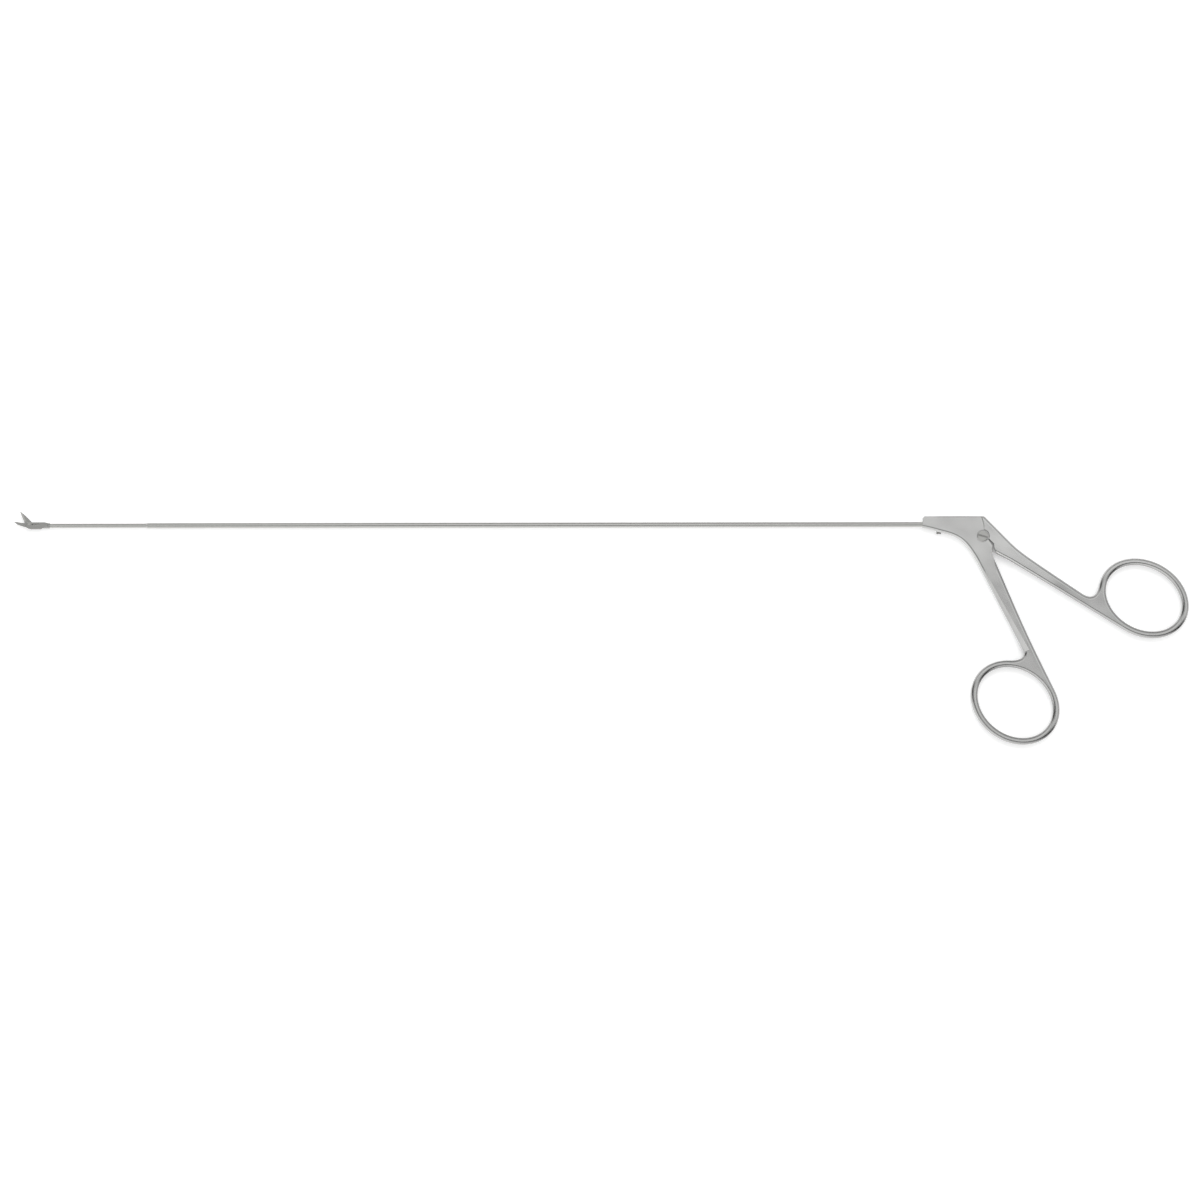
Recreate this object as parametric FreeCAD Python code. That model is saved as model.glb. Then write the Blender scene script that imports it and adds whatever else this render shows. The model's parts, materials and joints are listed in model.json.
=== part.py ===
import FreeCAD, Part
import math
import os

# Microlaryngeal scissors, lying flat, with the jaw open. Sizes are in millimetres and degrees.
# The pieces are drawn about the hinge screw: X runs back along the shaft towards the rings,
# Y runs up from the finger rings to the shaft, and Z is the thickness, 0 at mid-thickness.
Vector = FreeCAD.Vector
HINGE = Vector(0, 0, 0)
UP = Vector(0, 0, 1)
BACK = Vector(1, 0, 0)
SIDE = Vector(0, 1, 0)

# Fits: the gap on one side, and the play that the lever's shoulders keep to the cheeks
running_gap = 0.03
blade_gap = 0.015
slot_room = 0.3
seam_gap = 0.12
open_stop_angle = 1.9
closed_relief_angle = 0.8

# Handle plate
plate_thickness = 4.2
edge_round = 0.8

# Shaft: its axis above the hinge, the sheath, the thinner front tube and the rod
shaft_height = 2.93
sheath_diameter = 1.45
sheath_bore = 0.95
sheath_seat = 7.2
sheath_exposed = 196.3
distal_exposed = 24.45
sheath_chamfer = 0.12
distal_diameter = 1.2
distal_bore = 0.8
distal_seat = 5.0
rod_diameter = 0.62
bush_length = 2.5

# Body of the front handle
body_front_x = -15.18
wall_over_sheath = 1.355
wall_under_sheath = 0.25
front_chamfer = 0.5
top_chamfer = 0.2
# The underside, as distances in front of the hinge and below the shaft's axis
underside_drops = [(-11.1, 1.95), (-7.6, 2.98), (-5.05, 4.55), (-3.1, 6.9)]
underside_start_way = -8.0

# Seam between the cheeks and the lever, from the top down to the crotch of the two arms
seam_top_x = -0.38
seam_waist_x = 0.25
seam_waist_y = 2.91
knuckle_first = -33.0
knuckle_last = 79.0
knuckle_wall = 0.2
seam_heel_x = 2.40
seam_heel_y = -2.40
seam_notch_x = 2.28
seam_notch_y = -3.42
crotch_x = 2.66
crotch_y = -5.19

# Front arm: its front edge runs straight to a fillet at the ring, its rear edge is slightly bowed
front_arm_start_x = -1.12
front_arm_start_y = -7.24
front_arm_way = -62.5
front_arm_length = 24.1
front_edge_middle_x = 11.56
front_edge_middle_y = -25.43
front_edge_way = 116.6
front_blend_angle = 129.0
front_blend_pull = 2.4
arm_bevel_start = 0.6
arm_bevel_end = 1.45
arm_bevel_slope = 22.0
arm_bevel_overrun = 1.0

# Thumb lever's arm: a straight shoulder, a slight bend, then a fillet at the ring
lever_corner_x = 0.52
lever_corner_drop = 0.05
lever_shoulder_x = 7.52
lever_shoulder_y = -2.08
lever_shoulder_way = -44.0
lever_top_middle_x = 12.78
lever_top_middle_y = -6.20
lever_top_end_x = 25.1
lever_top_end_y = -14.55
lever_top_way = -33.7
lever_heel_x = 3.1
lever_heel_y = -4.35
lever_belly_x = 6.9
lever_belly_y = -6.33
thumb_edge_way = -31.0
rear_blend_angle = 196.0
rear_blend_pull = 2.9

# Finger rings: centre, half axes of the hole and tilt of its long axis, then the band's width
front_ring_x = 8.17
front_ring_y = -42.15
front_hole_long = 10.15
front_hole_short = 8.12
front_hole_tilt = -37.0
rear_ring_x = 40.75
rear_ring_y = -15.84
rear_hole_long = 10.14
rear_hole_short = 7.68
rear_hole_tilt = -30.0
ring_band = 1.8
fillets_start = 5.85

# Hinge
hinge_screw_diameter = 1.7
hinge_head_diameter = 2.8
hinge_head_height = 0.85
hinge_head_sink = 0.5
driver_slot_width = 0.42
driver_slot_depth = 0.4
driver_slot_turn = -16.0
tongue_thickness = 1.9
tongue_radius = 2.3
tongue_web_lap = 1.4

# Rod end: cross pin in the lever's lobe, and the eye with its barrel
cross_pin_diameter = 0.8
lobe_wall = 0.55
eye_thickness = 0.7
eye_wall = 0.32
neck_height = 0.9
barrel_diameter = 1.1
barrel_length = 1.95
barrel_offset = 1.25
barrel_grip = 1.5

# Set screw that holds the sheath in the body
set_screw_diameter = 1.3
set_screw_proud = 0.5
set_screw_slot = 0.3

# Jaw fork
jaw_pivot_rise = 0.44
jaw_pin_diameter = 0.6
jaw_pin_proud = 0.06
head_height = 1.82
head_thickness = 1.7
head_round = 1.12
head_nose_wall = 0.32
head_length = 3.05
shoulder_length = 3.8
shoulder_taper = 0.9
chin_reach = 0.74
chin_top = 0.3
chin_drop = 0.86
chin_middle_reach = 0.2
chin_middle_drop = 1.14
chin_set_back = 0.42
fork_slot = 0.74
fork_slot_depth = 2.65
collar_end = 5.2
collar_wall = 0.1
collar_seat = 1.7
collar_root = 0.3
window_width = 0.26
window_rise = 0.3
window_start = 0.8
window_end = 2.35

# Blades: outlines from the jaw pivot, tip first along the cutting edge, and the drive at the tail
fixed_blade_outline = [
    (-4.05, 0.64), (-1.27, 0.26), (-0.20, 0.10), (0.60, -0.40), (0.51, -1.30),
    (-0.25, -0.98), (-1.27, -0.72), (-2.28, -0.40), (-3.04, -0.12), (-3.60, 0.30),
]
moving_blade_outline = [
    (-2.42, 3.34), (-1.77, 1.60), (-1.33, 0.62), (-1.15, -0.10), (-0.62, -0.62),
    (0.50, -0.20), (0.58, 0.55), (0.00, 1.16), (-1.01, 2.17),
]
blade_thickness = 0.34
blade_swing = 48.0
bevel_width = 0.42
bevel_land = 0.08
tail_arm = 0.69
tail_pin_diameter = 0.34
tail_wall = 0.17
yoke_wall = 0.13
yoke_lap = 0.75
rod_front = 0.95

# Worked out from the sizes above
half_plate = plate_thickness / 2
half_slot = tongue_thickness / 2 + running_gap
half_head = head_thickness / 2
half_fork_slot = fork_slot / 2
body_top = shaft_height + sheath_diameter / 2 + wall_over_sheath
seat_end = body_front_x + sheath_seat
sheath_front_x = body_front_x - sheath_exposed
blade_reach = -fixed_blade_outline[0][0]
# From the body's front to the fixed blade's tip the instrument measures 230: sheath_exposed,
# distal_exposed, collar_end and blade_reach
jaw_pivot_x = sheath_front_x - distal_exposed - collar_end
jaw_pivot = Vector(jaw_pivot_x, shaft_height + jaw_pivot_rise, 0)
round_radius = min(edge_round, 0.46 * ring_band, 0.46 * plate_thickness)
knuckle_radius = hinge_head_diameter / 2 + knuckle_wall
front_ring = {
    "centre": Vector(front_ring_x, front_ring_y, 0),
    "long": front_hole_long, "short": front_hole_short, "tilt": front_hole_tilt,
}
rear_ring = {
    "centre": Vector(rear_ring_x, rear_ring_y, 0),
    "long": rear_hole_long, "short": rear_hole_short, "tilt": rear_hole_tilt,
}
seam_waist = Vector(seam_waist_x, seam_waist_y, 0)
seam_heel = Vector(seam_heel_x, seam_heel_y, 0)
seam_notch = Vector(seam_notch_x, seam_notch_y, 0)
crotch = Vector(crotch_x, crotch_y, 0)
front_arm_start = Vector(front_arm_start_x, front_arm_start_y, 0)
front_edge_middle = Vector(front_edge_middle_x, front_edge_middle_y, 0)
lever_shoulder = Vector(lever_shoulder_x, lever_shoulder_y, 0)
lever_top_middle = Vector(lever_top_middle_x, lever_top_middle_y, 0)
lever_top_end = Vector(lever_top_end_x, lever_top_end_y, 0)
lever_heel = Vector(lever_heel_x, lever_heel_y, 0)
lever_belly = Vector(lever_belly_x, lever_belly_y, 0)
underside = [Vector(x, shaft_height - drop, 0) for x, drop in underside_drops]
set_screw_x = underside[0].x

# The lever pulls the rod as far as the blade's tail swings, half of it on each side of upright
half_swing = math.radians(blade_swing / 2)
rod_travel = 2 * tail_arm * math.sin(half_swing)
half_lever_swing = math.atan(rod_travel / 2 / shaft_height)
lever_swing = 2 * math.degrees(half_lever_swing)
lever_radius = shaft_height / math.cos(half_lever_swing / 2)
cross_pin_rise = lever_radius * (1 - math.cos(half_lever_swing))
tail_pin_rise = tail_arm * (1 - math.cos(half_swing))
lobe_radius = cross_pin_diameter / 2 + lobe_wall
eye_radius = cross_pin_diameter / 2 + eye_wall
moving_blade_low = -half_fork_slot + blade_gap
yoke_low = moving_blade_low + blade_thickness + blade_gap
yoke_high = half_fork_slot - blade_gap


def polar(radius, degrees, centre=HINGE):
    angle = math.radians(degrees)
    return centre + Vector(radius * math.cos(angle), radius * math.sin(angle), 0)


def heading(degrees):
    return polar(1.0, degrees)


def turned(thing, degrees):
    """A solid or a point, turned about the hinge."""
    if isinstance(thing, Vector):
        return FreeCAD.Rotation(UP, degrees).multVec(thing)
    copy = thing.copy()
    copy.rotate(HINGE, UP, degrees)
    return copy


def line(start, end):
    return Part.LineSegment(start, end).toShape()


def lines(points):
    return [line(a, b) for a, b in zip(points, points[1:])]


def curve(points, start_way, end_way):
    """A smooth curve through points that leaves and arrives along two vectors."""
    spline = Part.BSplineCurve()
    spline.interpolate(Points=points, InitialTangent=start_way, FinalTangent=end_way)
    return spline.toShape()


def blend(start, start_way, end, end_way, pull):
    """A fillet that leaves start along one unit vector and arrives at end along another."""
    bezier = Part.BezierCurve()
    bezier.setPoles([start, start + pull * start_way, end - pull * end_way, end])
    return bezier.toShape()


def arc(radius, first, last):
    """A counter-clockwise arc about the hinge."""
    circle = Part.Circle(HINGE, UP, radius)
    return Part.ArcOfCircle(circle, math.radians(first), math.radians(last)).toShape()


def extruded(edges, low, high, hole=None):
    """The solid between two heights of a closed outline, with an edge that bounds a hole in it."""
    wires = [Part.Wire(edges)]
    if hole:
        wires.append(Part.Wire([hole]))
    face = Part.Face(wires, "Part::FaceMakerBullseye")
    face.translate(UP * low)
    return face.extrude(UP * (high - low))


def slab(points, low, high):
    return extruded(lines(points + points[:1]), low, high)


def post(radius, low, high, centre=HINGE):
    """A round bar through the thickness."""
    return Part.makeCylinder(radius, high - low, centre + UP * low, UP)


def bar(radius, start_x, end_x):
    """A round bar on the shaft's axis."""
    return Part.makeCylinder(radius, end_x - start_x, Vector(start_x, shaft_height, 0), BACK)


def block(corner, opposite):
    return Part.makeBox(*(opposite - corner), corner)


def tube(outer, inner, start_x, end_x):
    return bar(outer / 2, start_x, end_x).cut(bar(inner / 2, start_x, end_x))


def oblong(radius, stretch, centre, low, high):
    """A slot with round ends, centred on a point and stretched along a vector."""
    half = stretch / 2
    way = Vector(stretch).normalize()
    across = radius * Vector(-way.y, way.x, 0)
    sides = [centre - half - across, centre + half - across, centre + half + across, centre - half + across]
    ends = post(radius, low, high, centre - half).fuse(post(radius, low, high, centre + half))
    return ends.fuse(slab(sides, low, high))


# Finger rings, as ellipses a margin outside the finger hole

def ring_spot(ring, margin, degrees):
    """The point of a ring's ellipse at an angle of its own."""
    angle = math.radians(degrees)
    along = (ring["long"] + margin) * math.cos(angle)
    across = (ring["short"] + margin) * math.sin(angle)
    return ring["centre"] + along * heading(ring["tilt"]) + across * heading(ring["tilt"] + 90)


def ring_way(ring, margin, degrees):
    """The way that the ellipse runs there, counter-clockwise."""
    angle = math.radians(degrees)
    along = -(ring["long"] + margin) * math.sin(angle)
    across = (ring["short"] + margin) * math.cos(angle)
    way = along * heading(ring["tilt"]) + across * heading(ring["tilt"] + 90)
    return way.normalize()


def ring_angle(ring, margin, way):
    """The angle at which the ellipse runs along a heading."""
    relative = math.radians(way - ring["tilt"])
    sine = -math.cos(relative) / (ring["long"] + margin)
    cosine = math.sin(relative) / (ring["short"] + margin)
    return math.degrees(math.atan2(sine, cosine))


def ring_ellipse(ring, margin):
    ellipse = Part.Ellipse(ring["centre"], ring["long"] + margin, ring["short"] + margin)
    ellipse.AngleXU = math.radians(ring["tilt"])
    return ellipse


def ring_arc(ring, margin, first, last):
    ellipse = ring_ellipse(ring, margin)
    return Part.ArcOfEllipse(ellipse, math.radians(first), math.radians(last)).toShape()


def face_edges(plate, wanted):
    """The edges round a plate's two faces that a test of their middle point picks out."""
    edges = []
    for edge in plate.Edges:
        box = edge.BoundBox
        on_face = box.ZLength < 0.001 and abs(abs(box.ZMin) - half_plate) < 0.001
        if on_face and wanted(edge.CenterOfMass):
            edges.append(edge)
    return edges


def rounded(plate):
    """Rounds the arm and the ring all along, and leaves what lies near the hinge sharp."""
    edges = face_edges(plate, lambda middle: middle.y < 0 and middle.Length > fillets_start)
    return plate.makeFillet(round_radius, edges)


# Front handle: slotted body, fixed arm and finger ring, one forging

def cheek_seam():
    """The rear edge of both cheeks, from the crotch up over the knuckle to the top."""
    edges = lines([crotch, seam_notch, seam_heel, polar(knuckle_radius, knuckle_first)])
    edges.append(arc(knuckle_radius, knuckle_first, knuckle_last))
    top = Vector(seam_top_x, body_top, 0)
    return edges + lines([polar(knuckle_radius, knuckle_last), seam_waist, top])


def front_outline():
    nose_low = Vector(body_front_x, shaft_height - sheath_diameter / 2 - wall_under_sheath, 0)
    nose_high = Vector(body_front_x, body_top - front_chamfer, 0)
    top_front = Vector(body_front_x + front_chamfer, body_top, 0)
    top_rear = Vector(seam_top_x, body_top, 0)
    arm_end = front_arm_start + front_arm_length * heading(front_arm_way)
    meets_ring = ring_spot(front_ring, ring_band, front_blend_angle)
    blend_way = ring_way(front_ring, ring_band, front_blend_angle)
    leave_angle = ring_angle(front_ring, ring_band, front_edge_way)
    leaves_ring = ring_spot(front_ring, ring_band, leave_angle)
    arm_way = heading(front_arm_way)
    low_edge = [nose_low] + underside + [front_arm_start]
    rear_edge = [leaves_ring, front_edge_middle, crotch]
    edges = [curve(low_edge, heading(underside_start_way), arm_way)]
    edges.append(line(front_arm_start, arm_end))
    edges.append(blend(arm_end, arm_way, meets_ring, blend_way, front_blend_pull))
    edges.append(ring_arc(front_ring, ring_band, front_blend_angle, leave_angle + 360))
    edges.append(curve(rear_edge, heading(front_edge_way), (crotch - front_edge_middle).normalize()))
    edges += cheek_seam()
    return edges + lines([top_rear, top_front, nose_high, nose_low])


def heel_tangent_angle():
    """The angle at which a line from the lever's heel touches the tongue's round."""
    heel_angle = math.degrees(math.atan2(lever_heel.y, lever_heel.x))
    return heel_angle - math.degrees(math.acos(tongue_radius / lever_heel.Length))


def tongue_slot():
    """The milled slot that the tongue swings in, open above, behind and at the crotch."""
    wall = tongue_radius + slot_room
    closed_angle = heel_tangent_angle() - lever_swing
    heel = turned(lever_heel, -lever_swing) + slot_room * heading(closed_angle)
    way = turned(lever_belly - lever_heel, -lever_swing)
    beyond = Vector(lever_belly.x, body_top + slot_room, 0)
    edges = lines([Vector(-wall, beyond.y, 0), Vector(-wall, 0, 0)])
    edges.append(arc(wall, 180, 360 + closed_angle))
    edges += lines([polar(wall, closed_angle), heel, heel + way, Vector(beyond.x, 0, 0), beyond])
    edges += lines([beyond, Vector(-wall, beyond.y, 0)])
    return extruded(edges, -half_slot, half_slot)


def arm_bevel():
    """What is ground off both faces along the arm's front edge, widening down to a notch at the ring."""
    along = heading(front_arm_way)
    inward = heading(front_arm_way + 90)
    end = front_arm_start + along * (front_arm_length + arm_bevel_overrun)
    fall = math.tan(math.radians(arm_bevel_slope))
    start_in = front_arm_start + inward * arm_bevel_start + UP * half_plate
    end_in = end + inward * arm_bevel_end + UP * half_plate
    out = ring_band * (inward + UP * fall)
    corners = [start_in, end_in, end_in - out, start_in - out]
    wedge = Part.Face(Part.makePolygon(corners + corners[:1])).extrude(UP * plate_thickness)
    return wedge.fuse(wedge.mirror(HINGE, UP))


def screw_bar(radius, low_y, high_y):
    """A round bar on the set screw's axis."""
    return Part.makeCylinder(radius, high_y - low_y, Vector(set_screw_x, low_y, 0), SIDE)


def make_front_handle():
    finger_hole = ring_ellipse(front_ring, 0.0).toShape()
    plate = rounded(extruded(front_outline(), -half_plate, half_plate, finger_hole))
    top_edges = face_edges(plate, lambda middle: middle.y > body_top - front_chamfer)
    plate = plate.makeChamfer(top_chamfer, top_edges)
    plate = plate.cut(arm_bevel())
    plate = plate.cut(tongue_slot())
    plate = plate.cut(bar(sheath_diameter / 2, body_front_x - sheath_diameter, -tongue_radius))
    plate = plate.cut(post(hinge_screw_diameter / 2, -half_plate, half_plate))
    sink = post(hinge_head_diameter / 2 + running_gap, half_plate - hinge_head_sink, half_plate)
    plate = plate.cut(sink)
    return plate.cut(screw_bar(set_screw_diameter / 2, 0, shaft_height))


# Thumb lever: tongue, arm and finger ring, one forging

def lever_outline():
    """The full-thickness part, drawn a little way under the cheeks, which are then cut out of it."""
    corner = Vector(lever_corner_x, body_top - lever_corner_drop, 0)
    under_cheek_x = -tongue_radius / 2
    inner_top = Vector(under_cheek_x, corner.y, 0)
    inner_low = Vector(under_cheek_x, -tongue_radius, 0)
    meets_ring = ring_spot(rear_ring, ring_band, rear_blend_angle)
    blend_way = -ring_way(rear_ring, ring_band, rear_blend_angle)
    leave_angle = ring_angle(rear_ring, ring_band, thumb_edge_way)
    leaves_ring = ring_spot(rear_ring, ring_band, leave_angle)
    top = [lever_shoulder, lever_top_middle, lever_top_end]
    edges = lines([inner_top, corner, lever_shoulder])
    edges.append(curve(top, heading(lever_shoulder_way), heading(lever_top_way)))
    edges.append(blend(lever_top_end, heading(lever_top_way), meets_ring, blend_way, rear_blend_pull))
    edges.append(ring_arc(rear_ring, ring_band, leave_angle, rear_blend_angle))
    return edges + lines([leaves_ring, lever_belly, lever_heel, inner_low, inner_top])


def cheek_sweep():
    """The room that the cheeks take beside the lever's shoulders, from fully open to closed."""
    near_hinge = post(lever_belly.Length, -half_plate, half_plate)
    cheek = extruded(front_outline(), -half_plate, half_plate).common(near_hinge)
    sweep = turned(cheek, -open_stop_angle)
    sweep = sweep.fuse(turned(cheek, lever_swing + closed_relief_angle))
    return sweep.fuse(post(knuckle_radius + seam_gap, -half_plate, half_plate))


def cross_pin_spot():
    return polar(lever_radius, 90 + math.degrees(half_lever_swing))


def tongue():
    """The thin middle of the lever: a round about the screw, a lobe for the cross pin and a web."""
    half = tongue_thickness / 2
    pin = cross_pin_spot()
    touch = polar(tongue_radius, heel_tangent_angle())
    web_root = Vector(lever_shoulder.x / 2, 0, 0)
    web_top = Vector(lever_corner_x, body_top - lever_corner_drop, 0)
    web_lap = web_top - BACK * tongue_web_lap
    body = post(tongue_radius, -half, half)
    body = body.fuse(slab([touch, lever_heel, lever_belly, web_root, HINGE], -half, half))
    body = body.fuse(slab([HINGE, web_root, web_top, web_lap, pin], -half, half))
    return body.fuse(oblong(lobe_radius, pin, pin / 2, -half, half))


def eye_fork():
    """The narrow cut in the top of the tongue that takes the rod's eye."""
    half = eye_thickness / 2 + running_gap
    pin = cross_pin_spot()
    room = eye_radius + slot_room
    mouth = block(Vector(-lever_shoulder.x, pin.y - room, -half), Vector(pin.x, pin.y + room, half))
    return mouth.fuse(post(room, -half, half, pin))


def make_thumb_lever():
    thumb_hole = ring_ellipse(rear_ring, 0.0).toShape()
    plate = rounded(extruded(lever_outline(), -half_plate, half_plate, thumb_hole))
    lever = plate.cut(cheek_sweep()).fuse(tongue())
    lever = lever.cut(eye_fork())
    lever = lever.cut(post(hinge_screw_diameter / 2 + running_gap, -half_plate, half_plate))
    return lever.cut(post(cross_pin_diameter / 2, -half_plate, half_plate, cross_pin_spot()))


# Screws and the cross pin

def make_hinge_screw():
    under_head = half_plate - hinge_head_sink
    top = under_head + hinge_head_height
    head = post(hinge_head_diameter / 2, under_head, top)
    rim = [edge for edge in head.Edges if edge.BoundBox.ZMin > top - running_gap]
    head = head.makeFillet(hinge_head_height / 4, rim)
    screw = head.fuse(post(hinge_screw_diameter / 2, -half_plate, under_head))
    reach = Vector(hinge_head_diameter, driver_slot_width / 2, 0)
    slot = block(UP * (top - driver_slot_depth) - reach, UP * (top + driver_slot_depth) + reach)
    return screw.cut(turned(slot, driver_slot_turn))


def make_cross_pin():
    half = tongue_thickness / 2
    return post(cross_pin_diameter / 2, -half, half, cross_pin_spot())


def make_set_screw():
    start = underside[0].y - set_screw_proud
    screw = screw_bar(set_screw_diameter / 2, start, shaft_height)
    bottom = Vector(set_screw_x, start, 0)
    reach = Vector(set_screw_diameter, set_screw_slot, set_screw_slot / 2)
    return screw.cut(block(bottom - reach, bottom + reach)).cut(bar(sheath_diameter / 2, body_front_x, 0))


# Shaft

def make_sheath_tube():
    sheath = bar(sheath_diameter / 2, sheath_front_x, seat_end)
    rim = [edge for edge in sheath.Edges if edge.BoundBox.XMax < sheath_front_x + running_gap]
    sheath = sheath.makeChamfer(min(sheath_chamfer, (sheath_diameter - distal_diameter) / 2.1), rim)
    sheath = sheath.cut(bar(sheath_bore / 2, sheath_front_x, seat_end))
    return sheath.cut(bar(distal_diameter / 2, sheath_front_x, sheath_front_x + distal_seat))


def distal_front_x():
    return jaw_pivot.x + collar_end - collar_seat


def make_distal_tube():
    return tube(distal_diameter, distal_bore, distal_front_x(), sheath_front_x + distal_seat)


def make_rod_guide_bush():
    return tube(sheath_diameter, rod_diameter + 2 * running_gap, seat_end, seat_end + bush_length)


# Pull rod, with its eye at the lever and its yoke at the blade

def make_pull_rod():
    """The front end is flattened to half its thickness, for the yoke to be brazed on."""
    start = jaw_pivot.x + rod_front
    end = cross_pin_spot().x - barrel_offset - barrel_length + barrel_grip
    flat_low = Vector(start, shaft_height - rod_diameter, yoke_low)
    flat_high = Vector(start + yoke_lap, shaft_height + rod_diameter, rod_diameter)
    return bar(rod_diameter / 2, start, end).cut(block(flat_low, flat_high))


def make_rod_end_eye():
    half = eye_thickness / 2
    centre = Vector(cross_pin_spot().x, shaft_height, 0)
    back = centre.x - barrel_offset
    neck_side = Vector(0, neck_height / 2, half)
    barrel = bar(barrel_diameter / 2, back - barrel_length, back)
    neck = block(centre - BACK * barrel_offset - neck_side, centre + neck_side)
    eye = post(eye_radius, -half, half, centre).fuse(neck).fuse(barrel)
    eye = eye.cut(oblong(cross_pin_diameter / 2 + running_gap, SIDE * cross_pin_rise, centre, -half, half))
    return eye.cut(bar(rod_diameter / 2, back - barrel_length, back - barrel_length + barrel_grip))


def tail_pin_spot():
    return polar(tail_arm, -90 - blade_swing / 2, jaw_pivot)


def make_rod_yoke():
    """A round-ended plate beside the blade's tail, with an upright slot that drives the tail pin."""
    radius = tail_pin_diameter / 2 + blade_gap
    centre = tail_pin_spot() - SIDE * (tail_pin_rise / 2)
    reach = tail_pin_rise / 2 + radius + yoke_wall
    lap_start = jaw_pivot.x + rod_front
    low_corner = Vector(centre.x, centre.y - reach, yoke_low)
    plate = block(low_corner, Vector(lap_start, centre.y + reach, yoke_high))
    plate = plate.fuse(post(reach, yoke_low, yoke_high, centre))
    lap_side = Vector(0, min(rod_diameter / 2, centre.y + reach - shaft_height), 0)
    lap_low = Vector(lap_start, shaft_height, yoke_low) - lap_side
    lap_high = Vector(lap_start + yoke_lap, shaft_height, yoke_high) + lap_side
    plate = plate.fuse(block(lap_low, lap_high))
    return plate.cut(oblong(radius, SIDE * tail_pin_rise, centre, yoke_low, yoke_high))


# Jaw: fork with the fixed blade, moving blade and their pins

def about_pivot(pairs):
    return [jaw_pivot + Vector(x, y, 0) for x, y in pairs]


def bevel(start, end, inward, edge_height, face_height):
    """The wedge ground off a blade's outer face along its cutting edge."""
    along = (end - start).normalize()
    edge_point = start - along + UP * edge_height
    face_point = start - along + bevel_width * inward + UP * face_height
    slope = face_point - edge_point
    beyond = UP * math.copysign(head_thickness, face_height - edge_height)
    corners = [edge_point - slope, face_point + slope]
    corners += [face_point + slope + beyond, edge_point - slope + beyond]
    profile = Part.Face(Part.makePolygon(corners + corners[:1]))
    return profile.extrude(along * ((end - start).Length + 1))


def fixed_blade():
    outline = about_pivot(fixed_blade_outline)
    blade = slab(outline, -half_head, -half_fork_slot)
    way = outline[1] - outline[0]
    inward = Vector(way.y, -way.x, 0).normalize()
    return blade.cut(bevel(outline[0], outline[1], inward, -half_fork_slot - bevel_land, -half_head))


def jaw_head():
    """The fork's block, with a chin that covers the yoke and a back that steps down to the tube."""
    low = shaft_height - head_height / 2
    high = shaft_height + head_height / 2
    collar = distal_diameter / 2 + collar_wall
    rear = jaw_pivot.x + head_length
    taper_end = jaw_pivot.x + shoulder_length + shoulder_taper
    side = [jaw_pivot - Vector(chin_reach, chin_top, 0), jaw_pivot - Vector(chin_reach, chin_drop, 0)]
    side.append(jaw_pivot - Vector(chin_middle_reach, chin_middle_drop, 0))
    side.append(Vector(jaw_pivot.x + chin_set_back, low, 0))
    side += [Vector(rear, low, 0), Vector(rear + collar_wall, shaft_height - collar, 0)]
    side += [Vector(taper_end, shaft_height, 0), Vector(taper_end, shaft_height + collar, 0)]
    side += [Vector(jaw_pivot.x + shoulder_length, high, 0), Vector(jaw_pivot.x, high, 0)]
    side.append(jaw_pivot - SIDE * chin_top)
    nose = post(jaw_pin_diameter / 2 + head_nose_wall, -half_head, half_head, jaw_pivot)
    trim = Vector(head_height, 0, half_head)
    nose = nose.common(block(Vector(jaw_pivot.x, low, 0) - trim, Vector(jaw_pivot.x, high, 0) + trim))
    head = slab(side, -half_head, half_head).fuse(nose)
    head = head.common(bar(head_round, jaw_pivot.x - head_height, taper_end))
    return head.fuse(bar(collar, rear - collar_root, jaw_pivot.x + collar_end))


def make_jaw_fork():
    slot_end = jaw_pivot.x + fork_slot_depth
    far = jaw_pivot.x + collar_end
    slot_side = Vector(0, head_height, half_fork_slot)
    slot_front = Vector(jaw_pivot.x - blade_reach, shaft_height, 0)
    fork = jaw_head().fuse(fixed_blade())
    fork = fork.cut(block(slot_front - slot_side, Vector(slot_end, shaft_height, 0) + slot_side))
    fork = fork.cut(bar(distal_bore / 2, slot_end - collar_root, far))
    fork = fork.cut(bar(distal_diameter / 2, distal_front_x(), far))
    window_middle = (window_start + window_end) / 2
    window_centre = Vector(jaw_pivot.x + window_middle, shaft_height + window_rise, 0)
    window_stretch = BACK * (window_end - window_start)
    fork = fork.cut(oblong(window_width / 2, window_stretch, window_centre, 0, half_head))
    return fork.cut(post(jaw_pin_diameter / 2, -half_head, half_head, jaw_pivot))


def make_moving_blade():
    low = moving_blade_low
    high = low + blade_thickness
    outline = about_pivot(moving_blade_outline)
    way = outline[2] - outline[0]
    inward = Vector(-way.y, way.x, 0).normalize()
    blade = slab(outline, low, high)
    blade = blade.cut(bevel(outline[0], outline[2], inward, low + bevel_land, high))
    blade = blade.fuse(post(tail_pin_diameter / 2 + tail_wall, low, high, tail_pin_spot()))
    blade = blade.cut(post(jaw_pin_diameter / 2 + blade_gap, low, high, jaw_pivot))
    return blade.cut(post(tail_pin_diameter / 2, low, high, tail_pin_spot()))


def make_jaw_pivot_pin():
    return post(jaw_pin_diameter / 2, -half_head, half_head + jaw_pin_proud, jaw_pivot)


def make_blade_tail_pin():
    return post(tail_pin_diameter / 2, moving_blade_low, yoke_high, tail_pin_spot())


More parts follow.
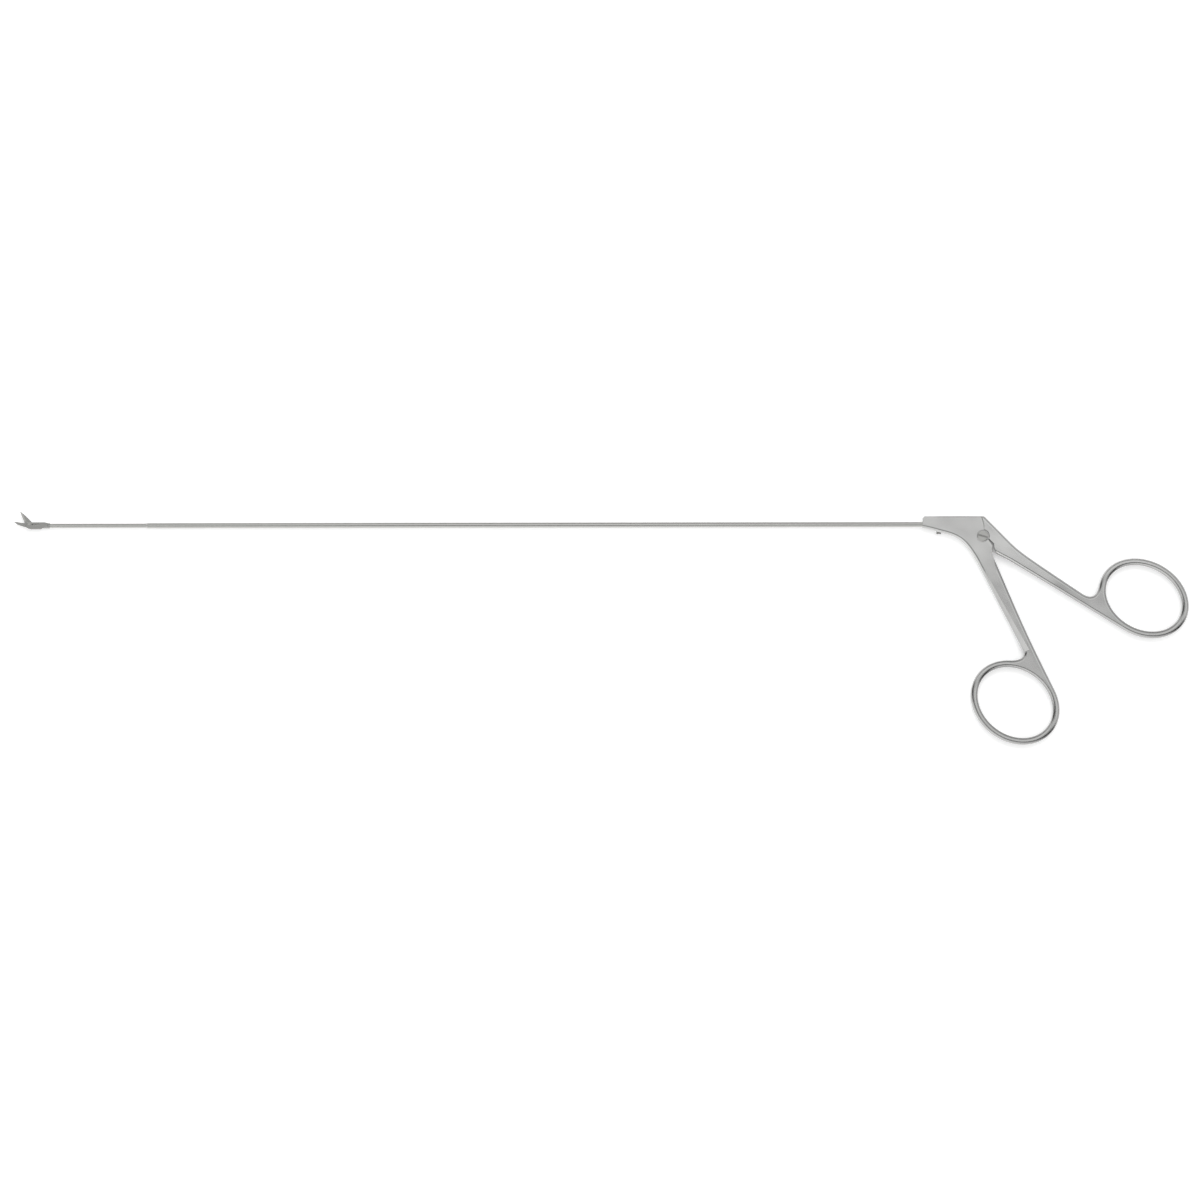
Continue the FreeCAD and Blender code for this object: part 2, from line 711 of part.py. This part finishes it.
def make_pieces():
    return {
        "front_handle": make_front_handle(),
        "thumb_lever": make_thumb_lever(),
        "hinge_screw": make_hinge_screw(),
        "rod_cross_pin": make_cross_pin(),
        "sheath_set_screw": make_set_screw(),
        "sheath_tube": make_sheath_tube(),
        "distal_tube": make_distal_tube(),
        "rod_guide_bush": make_rod_guide_bush(),
        "pull_rod": make_pull_rod(),
        "rod_end_eye": make_rod_end_eye(),
        "rod_yoke": make_rod_yoke(),
        "jaw_fork": make_jaw_fork(),
        "moving_blade": make_moving_blade(),
        "jaw_pivot_pin": make_jaw_pivot_pin(),
        "blade_tail_pin": make_blade_tail_pin(),
    }


# The finished pieces stand on Z 0, with the origin under the middle of their box
pieces = make_pieces()
whole = Part.makeCompound(list(pieces.values())).optimalBoundingBox(False, False)
hinge_place = Vector(-whole.Center.x, -whole.Center.y, -whole.ZMin)
os.makedirs("parts", exist_ok=True)
for name, shape in pieces.items():
    shape.translate(hinge_place)
    shape.exportStep("parts/" + name + ".step")
    print(name, round(shape.Volume, 3), len(shape.Solids), shape.isValid())
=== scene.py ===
import json
import math

import bpy
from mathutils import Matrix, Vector

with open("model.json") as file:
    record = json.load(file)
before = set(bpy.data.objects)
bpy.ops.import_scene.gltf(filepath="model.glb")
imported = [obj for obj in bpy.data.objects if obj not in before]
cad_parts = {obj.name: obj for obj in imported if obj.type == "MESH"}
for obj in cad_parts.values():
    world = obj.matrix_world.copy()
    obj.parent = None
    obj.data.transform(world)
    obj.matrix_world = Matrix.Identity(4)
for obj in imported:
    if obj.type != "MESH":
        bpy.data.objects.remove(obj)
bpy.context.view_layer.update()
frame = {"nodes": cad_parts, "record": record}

MM = 0.001
nodes = frame["nodes"]
joints = {joint["name"]: joint for joint in frame["record"]["behaviour"]["joints"]}
HINGE = Vector(joints["lever_hinge"]["pos_m"])
JAW_PIVOT = Vector(joints["blade_hinge"]["pos_m"])

# The camera looks straight down, from far enough that the instrument shows almost no depth.
# The picture's middle lies below the shaft, and its whole width spans this much.
PICTURE_WIDTH = 303.6 * MM
PICTURE_MIDDLE = HINGE + Vector((-96.79, -16.05, 0)) * MM
LENS_MM = 300
SENSOR_MM = 36
CAMERA_REACH = 20
# The shaft sinks by this angle in degrees to the left of the photograph.
CAMERA_ROLL = -0.087

# The instrument lies in a light tent, where a brightness of 1 would light a white card to white.
# These are the brightness at the sides, what is added overhead, and what is added for each step
# along x and y. The tent is a little brighter towards the bottom of the picture.
TENT_LEVEL = 0.56
TENT_CROWN = 0.66
TENT_SLOPE = (-0.06, -0.26, 0.0)
TENT_DARKEST = 0.05
TENT_BRIGHTEST = 1.3
# A brighter panel stands on the left. It lights the front arm's long bevel.
PANEL_WAY = (-0.95, -0.31, 0.0)
PANEL_START = 0.25
PANEL_END = 0.8
PANEL_LIGHT = 0.36
# A dark gap between two panels crosses the tent, towards the bottom of the picture and a little
# to the left. Rounded edges mirror it as a thin dark line.
GAP_WAY = (-0.42, -0.91, 0.0)
GAP_MIDDLE = 0.25
GAP_HALF = 0.38
GAP_DEPTH = 1.2
# One lamp gives the soft shadow. It tilts from straight overhead and turns from the x axis,
# both in degrees.
KEY_DISTANCE = 1.5
KEY_TILT = 20
KEY_TURN = 70
KEY_SIZE = 0.4
KEY_WATTS = 5.0
# The table reaches this far from the middle on each side, in metres, and glows this much by
# itself, so that it photographs white.
TABLE_HALF = 3.0
TABLE_GLOW = 0.45

OCCLUSION_SAMPLES = 8
# Within this distance of another wall a surface counts as part of a seam or a slot, and its tone is
# darkened there as painted shade. It keeps the last share of its tone where it sees less than the
# first share of the sky.
SEAM_REACH_MM = 0.9
SEAM_SHUT = 0.2
SEAM_OPEN = 0.75
SEAM_PAINTED_SHADE_DARKEST = 0.22
# How much of the metal behind a surface is missing where wear starts, and where it is full.
WEAR_START = 0.1
WEAR_FULL = 0.45
# The edges' lightening is partly wear and partly a painted highlight.
WEAR_AND_HIGHLIGHT_LIGHTENS = 0.18
WEAR_SMOOTHS = 0.07


def linear(hex_colour):
    """Turns an sRGB hex colour into the linear values that a shader takes."""
    channels = [int(hex_colour[i:i + 2], 16) / 255 for i in (1, 3, 5)]
    return [c / 12.92 if c <= 0.04045 else ((c + 0.055) / 1.055) ** 2.4 for c in channels] + [1.0]


def add_node(tree, kind, settings=None, links=None):
    """Adds a shader node, sets its properties and sockets, and links its inputs."""
    node = tree.nodes.new(kind)
    for name, value in (settings or {}).items():
        if isinstance(name, str) and hasattr(node, name):
            setattr(node, name, value)
        else:
            node.inputs[name].default_value = value
    for name, socket in (links or {}).items():
        tree.links.new(socket, node.inputs[name])
    return node


def new_material(name):
    """An empty material, with its tree, its object coordinates and its output node."""
    material = bpy.data.materials.new(name)
    material.use_nodes = True
    tree = material.node_tree
    tree.nodes.clear()
    place = add_node(tree, "ShaderNodeTexCoord").outputs["Object"]
    output = add_node(tree, "ShaderNodeOutputMaterial")
    return material, tree, place, output


def marks_of(*lengths_mm):
    """The scale at which a pattern's marks have the given lengths along x, y and z."""
    return [1 / (length * MM) for length in lengths_mm]


def dress(material, *names):
    for name in names:
        mesh = nodes[name].data
        mesh.materials.clear()
        mesh.materials.append(material)


def painted_shade_in_gaps(tree, tone):
    """Paints shade into a tone in seams and screw slots, where little light gets in."""
    open_sky = add_node(tree, "ShaderNodeAmbientOcclusion",
                        {"samples": OCCLUSION_SAMPLES, "Distance": SEAM_REACH_MM * MM})
    share = add_node(tree, "ShaderNodeMapRange",
                     {"From Min": SEAM_SHUT, "From Max": SEAM_OPEN, "To Min": SEAM_PAINTED_SHADE_DARKEST, "To Max": 1.0},
                     {"Value": open_sky.outputs["AO"]})
    return add_node(tree, "ShaderNodeVectorMath", {"operation": "SCALE"},
                    {0: tone, "Scale": share.outputs["Result"]}).outputs["Vector"]


def worn_and_painted_highlight(tree, tone, rough, reach_mm):
    """Lightens a tone and smooths a roughness near edges, which hands and trays have polished; the
    lightening is partly wear and partly a painted highlight.
    """
    missing = add_node(tree, "ShaderNodeAmbientOcclusion",
                       {"samples": OCCLUSION_SAMPLES, "inside": True, "Distance": reach_mm * MM})
    wear = add_node(tree, "ShaderNodeMapRange", {"From Min": WEAR_START, "From Max": WEAR_FULL},
                    {"Value": missing.outputs["AO"]}).outputs["Result"]
    wear_and_highlight = add_node(tree, "ShaderNodeMath", {"operation": "MULTIPLY", 1: WEAR_AND_HIGHLIGHT_LIGHTENS}, {0: wear})
    tone = add_node(tree, "ShaderNodeMix", {"data_type": "RGBA", 7: linear("#d6d6d4")},
                    {0: wear_and_highlight.outputs["Value"], 6: tone})
    rough = add_node(tree, "ShaderNodeMath", {"operation": "MULTIPLY_ADD", 1: -WEAR_SMOOTHS},
                     {0: wear, 2: rough})
    return tone.outputs[2], rough.outputs["Value"]


def blasted_stainless():
    """Stainless steel, bead blasted after forging. It gives an even satin grey with a fine grain, slow
    waves where the forging was ground to shape, arms and rings darkened as painted shade, and edges that
    handling has polished, lightened partly as wear and partly as a painted highlight."""
    material, tree, place, output = new_material("bead_blasted_stainless")
    # The beads leave dents of about 0.05 mm. They are drawn coarser, so that a close view shows them.
    grain_mm = 0.28
    wave_mm = 9.0
    grain_share = 0.35
    edge_mm = 0.35
    fine = add_node(tree, "ShaderNodeMapping", {"Scale": marks_of(grain_mm, grain_mm, grain_mm)},
                    {"Vector": place})
    slow = add_node(tree, "ShaderNodeMapping", {"Scale": marks_of(wave_mm, wave_mm, wave_mm)},
                    {"Vector": place})
    grain = add_node(tree, "ShaderNodeTexNoise", {"Scale": 1.0, "Detail": 4.0, "Roughness": 0.6},
                     {"Vector": fine.outputs["Vector"]})
    wave = add_node(tree, "ShaderNodeTexNoise", {"Scale": 1.0, "Detail": 1.0},
                    {"Vector": slow.outputs["Vector"]})
    mottle = add_node(tree, "ShaderNodeMix", {0: grain_share},
                      {2: wave.outputs["Fac"], 3: grain.outputs["Fac"]})
    tone = add_node(tree, "ShaderNodeMix",
                    {"data_type": "RGBA", 6: linear("#bababa"), 7: linear("#cececc")},
                    {0: mottle.outputs[0]})
    # The arms and rings, which lie beyond the hinge, get painted shade: their tone is darker than the
    # body's and the lever root's.
    arm_painted_shade = 0.8
    arms_begin = HINGE.y - 12 * MM
    body_ends = HINGE.y - 4 * MM
    across = add_node(tree, "ShaderNodeSeparateXYZ", links={"Vector": place}).outputs["Y"]
    painted_arm_shade = add_node(tree, "ShaderNodeMapRange",
                    {"From Min": arms_begin, "From Max": body_ends, "To Min": arm_painted_shade, "To Max": 1.0},
                    {"Value": across})
    tone = add_node(tree, "ShaderNodeVectorMath", {"operation": "SCALE"},
                    {0: tone.outputs[2], "Scale": painted_arm_shade.outputs["Result"]})
    rough = add_node(tree, "ShaderNodeMapRange", {"To Min": 0.25, "To Max": 0.33},
                     {"Value": grain.outputs["Fac"]})
    waves = add_node(tree, "ShaderNodeBump", {"Strength": 1.0, "Distance": 0.25 * MM},
                     {"Height": wave.outputs["Fac"]})
    bumps = add_node(tree, "ShaderNodeBump", {"Strength": 0.35, "Distance": 0.02 * MM},
                     {"Height": grain.outputs["Fac"], "Normal": waves.outputs["Normal"]})
    tone, rough = worn_and_painted_highlight(tree, tone.outputs["Vector"], rough.outputs["Result"], edge_mm)
    shader = add_node(tree, "ShaderNodeBsdfPrincipled", {"Metallic": 1.0},
                      {"Base Color": painted_shade_in_gaps(tree, tone), "Roughness": rough,
                       "Normal": bumps.outputs["Normal"]})
    tree.links.new(shader.outputs["BSDF"], output.inputs["Surface"])
    return material


def drawn_stainless():
    """Stainless steel, drawn cold through a die. It gives a brighter tube with faint long lines."""
    material, tree, place, output = new_material("cold_drawn_stainless")
    # A die leaves lines of about 0.01 mm. They are drawn wider, so that a close view shows them.
    line_mm = 0.12
    line_length_mm = 12.0
    along = add_node(tree, "ShaderNodeMapping", {"Scale": marks_of(line_length_mm, line_mm, line_mm)},
                     {"Vector": place})
    line = add_node(tree, "ShaderNodeTexNoise", {"Scale": 1.0, "Detail": 3.0},
                    {"Vector": along.outputs["Vector"]})
    tone = add_node(tree, "ShaderNodeMix",
                    {"data_type": "RGBA", 6: linear("#bcbcb9"), 7: linear("#cdcdca")},
                    {0: line.outputs["Fac"]})
    rough = add_node(tree, "ShaderNodeMapRange", {"To Min": 0.16, "To Max": 0.26},
                     {"Value": line.outputs["Fac"]})
    bumps = add_node(tree, "ShaderNodeBump", {"Strength": 0.3, "Distance": 0.01 * MM},
                     {"Height": line.outputs["Fac"]})
    shader = add_node(tree, "ShaderNodeBsdfPrincipled", {"Metallic": 1.0},
                      {"Base Color": tone.outputs[2], "Roughness": rough.outputs["Result"],
                       "Normal": bumps.outputs["Normal"]})
    tree.links.new(shader.outputs["BSDF"], output.inputs["Surface"])
    return material


def ground_stainless():
    """Hardened blade steel, ground on a fine wheel. It gives a darker jaw with short scratches across
    it, and cutting edges and corners lightened partly as wear and partly as a painted highlight."""
    material, tree, place, output = new_material("fine_ground_blade_steel")
    # A fine wheel scratches about 0.01 mm wide. The scratches are drawn wider, so that they show.
    scratch_mm = 0.06
    scratch_length_mm = 1.2
    scratch_depth_mm = 0.5
    edge_mm = 0.08
    across = add_node(tree, "ShaderNodeMapping",
                      {"Scale": marks_of(scratch_mm, scratch_length_mm, scratch_depth_mm)},
                      {"Vector": place})
    scratch = add_node(tree, "ShaderNodeTexNoise", {"Scale": 1.0, "Detail": 4.0},
                       {"Vector": across.outputs["Vector"]})
    tone = add_node(tree, "ShaderNodeMix",
                    {"data_type": "RGBA", 6: linear("#8f8f8c"), 7: linear("#a8a8a5")},
                    {0: scratch.outputs["Fac"]})
    rough = add_node(tree, "ShaderNodeMapRange", {"To Min": 0.24, "To Max": 0.36},
                     {"Value": scratch.outputs["Fac"]})
    bumps = add_node(tree, "ShaderNodeBump", {"Strength": 0.3, "Distance": 0.008 * MM},
                     {"Height": scratch.outputs["Fac"]})
    tone, rough = worn_and_painted_highlight(tree, tone.outputs[2], rough.outputs["Result"], edge_mm)
    shader = add_node(tree, "ShaderNodeBsdfPrincipled", {"Metallic": 1.0},
                      {"Base Color": painted_shade_in_gaps(tree, tone), "Roughness": rough,
                       "Normal": bumps.outputs["Normal"]})
    tree.links.new(shader.outputs["BSDF"], output.inputs["Surface"])
    return material


def turned_stainless(name, centre):
    """Stainless steel, turned on a lathe. It gives a smooth face with faint rings about the centre."""
    material, tree, place, output = new_material(name)
    # The tool's feed leaves rings of about 0.05 mm. They are drawn wider, so that a close view shows them.
    ring_mm = 0.2
    local = add_node(tree, "ShaderNodeVectorMath", {"operation": "SUBTRACT", 1: centre}, {0: place})
    about = add_node(tree, "ShaderNodeMapping", {"Scale": marks_of(ring_mm, ring_mm, ring_mm)},
                     {"Vector": local.outputs["Vector"]})
    ring = add_node(tree, "ShaderNodeTexWave",
                    {"wave_type": "RINGS", "rings_direction": "Z", "Scale": 1.0, "Distortion": 0.6},
                    {"Vector": about.outputs["Vector"]})
    tone = add_node(tree, "ShaderNodeMix",
                    {"data_type": "RGBA", 6: linear("#b6b6b3"), 7: linear("#c2c2bf")},
                    {0: ring.outputs["Fac"]})
    bumps = add_node(tree, "ShaderNodeBump", {"Strength": 0.15, "Distance": 0.002 * MM},
                     {"Height": ring.outputs["Fac"]})
    shader = add_node(tree, "ShaderNodeBsdfPrincipled", {"Metallic": 1.0, "Roughness": 0.3},
                      {"Base Color": painted_shade_in_gaps(tree, tone.outputs[2]),
                       "Normal": bumps.outputs["Normal"]})
    tree.links.new(shader.outputs["BSDF"], output.inputs["Surface"])
    return material


def make_table():
    """A white table. It keeps the instrument's soft shadow and is white wherever the shadow isn't."""
    material, tree, place, output = new_material("white_matt_laminate")
    diffuse = add_node(tree, "ShaderNodeBsdfDiffuse", {"Color": linear("#f2f2f2")})
    rays = add_node(tree, "ShaderNodeLightPath").outputs
    seen = add_node(tree, "ShaderNodeMath", {"operation": "ADD"},
                    {0: rays["Is Camera Ray"], 1: rays["Is Glossy Ray"]})
    seen = add_node(tree, "ShaderNodeMath", {"operation": "ADD", "use_clamp": True},
                    {0: seen.outputs["Value"], 1: rays["Is Transmission Ray"]})
    lift = add_node(tree, "ShaderNodeMath", {"operation": "MULTIPLY", 1: TABLE_GLOW},
                    {0: seen.outputs["Value"]})
    glow = add_node(tree, "ShaderNodeEmission", links={"Strength": lift.outputs["Value"]})
    both = add_node(tree, "ShaderNodeAddShader",
                    links={0: diffuse.outputs["BSDF"], 1: glow.outputs["Emission"]})
    tree.links.new(both.outputs["Shader"], output.inputs["Surface"])
    half = TABLE_HALF
    corners = [(-half, -half, 0), (half, -half, 0), (half, half, 0), (-half, half, 0)]
    mesh = bpy.data.meshes.new("floor")
    mesh.from_pydata(corners, [], [(0, 1, 2, 3)])
    mesh.materials.append(material)
    floor = bpy.data.objects.new("floor", mesh)
    bpy.context.scene.collection.objects.link(floor)


def make_tent():
    """A white tent, brightest overhead, with a brighter panel and a dark gap between panels."""
    world = bpy.data.worlds.new("light_tent")
    world.use_nodes = True
    tree = world.node_tree
    way = add_node(tree, "ShaderNodeTexCoord").outputs["Generated"]
    rise = add_node(tree, "ShaderNodeSeparateXYZ", links={"Vector": way}).outputs["Z"]
    crown = add_node(tree, "ShaderNodeMath", {"operation": "MULTIPLY"}, {0: rise, 1: rise})
    level = add_node(tree, "ShaderNodeMath", {"operation": "MULTIPLY_ADD", 1: TENT_CROWN, 2: TENT_LEVEL},
                     {0: crown.outputs["Value"]})
    side = add_node(tree, "ShaderNodeVectorMath", {"operation": "DOT_PRODUCT", 1: TENT_SLOPE}, {0: way})
    level = add_node(tree, "ShaderNodeMath", {"operation": "ADD"},
                     {0: level.outputs["Value"], 1: side.outputs["Value"]})
    panel = add_node(tree, "ShaderNodeVectorMath", {"operation": "DOT_PRODUCT", 1: PANEL_WAY}, {0: way})
    panel = add_node(tree, "ShaderNodeMapRange",
                     {"interpolation_type": "SMOOTHSTEP", "From Min": PANEL_START,
                      "From Max": PANEL_END, "To Max": PANEL_LIGHT},
                     {"Value": panel.outputs["Value"]})
    level = add_node(tree, "ShaderNodeMath", {"operation": "ADD"},
                     {0: level.outputs["Value"], 1: panel.outputs["Result"]})
    gap = add_node(tree, "ShaderNodeVectorMath", {"operation": "DOT_PRODUCT", 1: GAP_WAY}, {0: way})
    gap = add_node(tree, "ShaderNodeMath", {"operation": "SUBTRACT", 1: GAP_MIDDLE},
                   {0: gap.outputs["Value"]})
    gap = add_node(tree, "ShaderNodeMath", {"operation": "ABSOLUTE"}, {0: gap.outputs["Value"]})
    gap = add_node(tree, "ShaderNodeMapRange",
                   {"interpolation_type": "SMOOTHSTEP", "From Max": GAP_HALF, "To Min": GAP_DEPTH,
                    "To Max": 0.0},
                   {"Value": gap.outputs["Value"]})
    level = add_node(tree, "ShaderNodeMath", {"operation": "SUBTRACT"},
                     {0: level.outputs["Value"], 1: gap.outputs["Result"]})
    held = add_node(tree, "ShaderNodeClamp", {"Min": TENT_DARKEST, "Max": TENT_BRIGHTEST},
                    {"Value": level.outputs["Value"]})
    background = tree.nodes["Background"]
    tree.links.new(held.outputs["Result"], background.inputs["Strength"])
    background.inputs["Color"].default_value = linear("#ffffff")
    bpy.context.scene.world = world


def add_key_lamp():
    """A softbox above the instrument. Metal doesn't mirror it, because the tent already gives its gloss."""
    tilt = math.radians(KEY_TILT)
    turn = math.radians(KEY_TURN)
    way = Vector((math.sin(tilt) * math.cos(turn), math.sin(tilt) * math.sin(turn), math.cos(tilt)))
    data = bpy.data.lights.new("key_softbox", "AREA")
    data.shape = "RECTANGLE"
    data.size = KEY_SIZE
    data.size_y = KEY_SIZE
    data.energy = KEY_WATTS
    lamp = bpy.data.objects.new("key_softbox", data)
    lamp.location = way * KEY_DISTANCE
    lamp.rotation_mode = "QUATERNION"
    lamp.rotation_quaternion = (-way).to_track_quat("-Z", "Y")
    lamp.visible_glossy = False
    bpy.context.scene.collection.objects.link(lamp)


def add_camera():
    data = bpy.data.cameras.new("camera")
    data.lens = LENS_MM
    data.sensor_width = SENSOR_MM
    data.clip_end = CAMERA_REACH
    camera = bpy.data.objects.new("camera", data)
    height = PICTURE_WIDTH * LENS_MM / SENSOR_MM
    camera.location = PICTURE_MIDDLE + Vector((0, 0, height))
    camera.rotation_euler = (0, 0, math.radians(CAMERA_ROLL))
    bpy.context.scene.collection.objects.link(camera)
    bpy.context.scene.camera = camera


add_camera()
make_tent()
add_key_lamp()
make_table()
bpy.context.scene.view_settings.view_transform = "Standard"

dress(blasted_stainless(), "front_handle", "thumb_lever")
dress(drawn_stainless(), "sheath_tube", "distal_tube", "pull_rod")
dress(ground_stainless(), "jaw_fork", "moving_blade", "rod_yoke")
# The small inner pieces and the set screw share the hinge screw's rings, which aren't about their
# own axes.
dress(turned_stainless("turned_hinge_screw_steel", HINGE), "hinge_screw", "rod_cross_pin",
      "rod_end_eye", "rod_guide_bush", "sheath_set_screw")
dress(turned_stainless("turned_jaw_pin_steel", JAW_PIVOT), "jaw_pivot_pin", "blade_tail_pin")
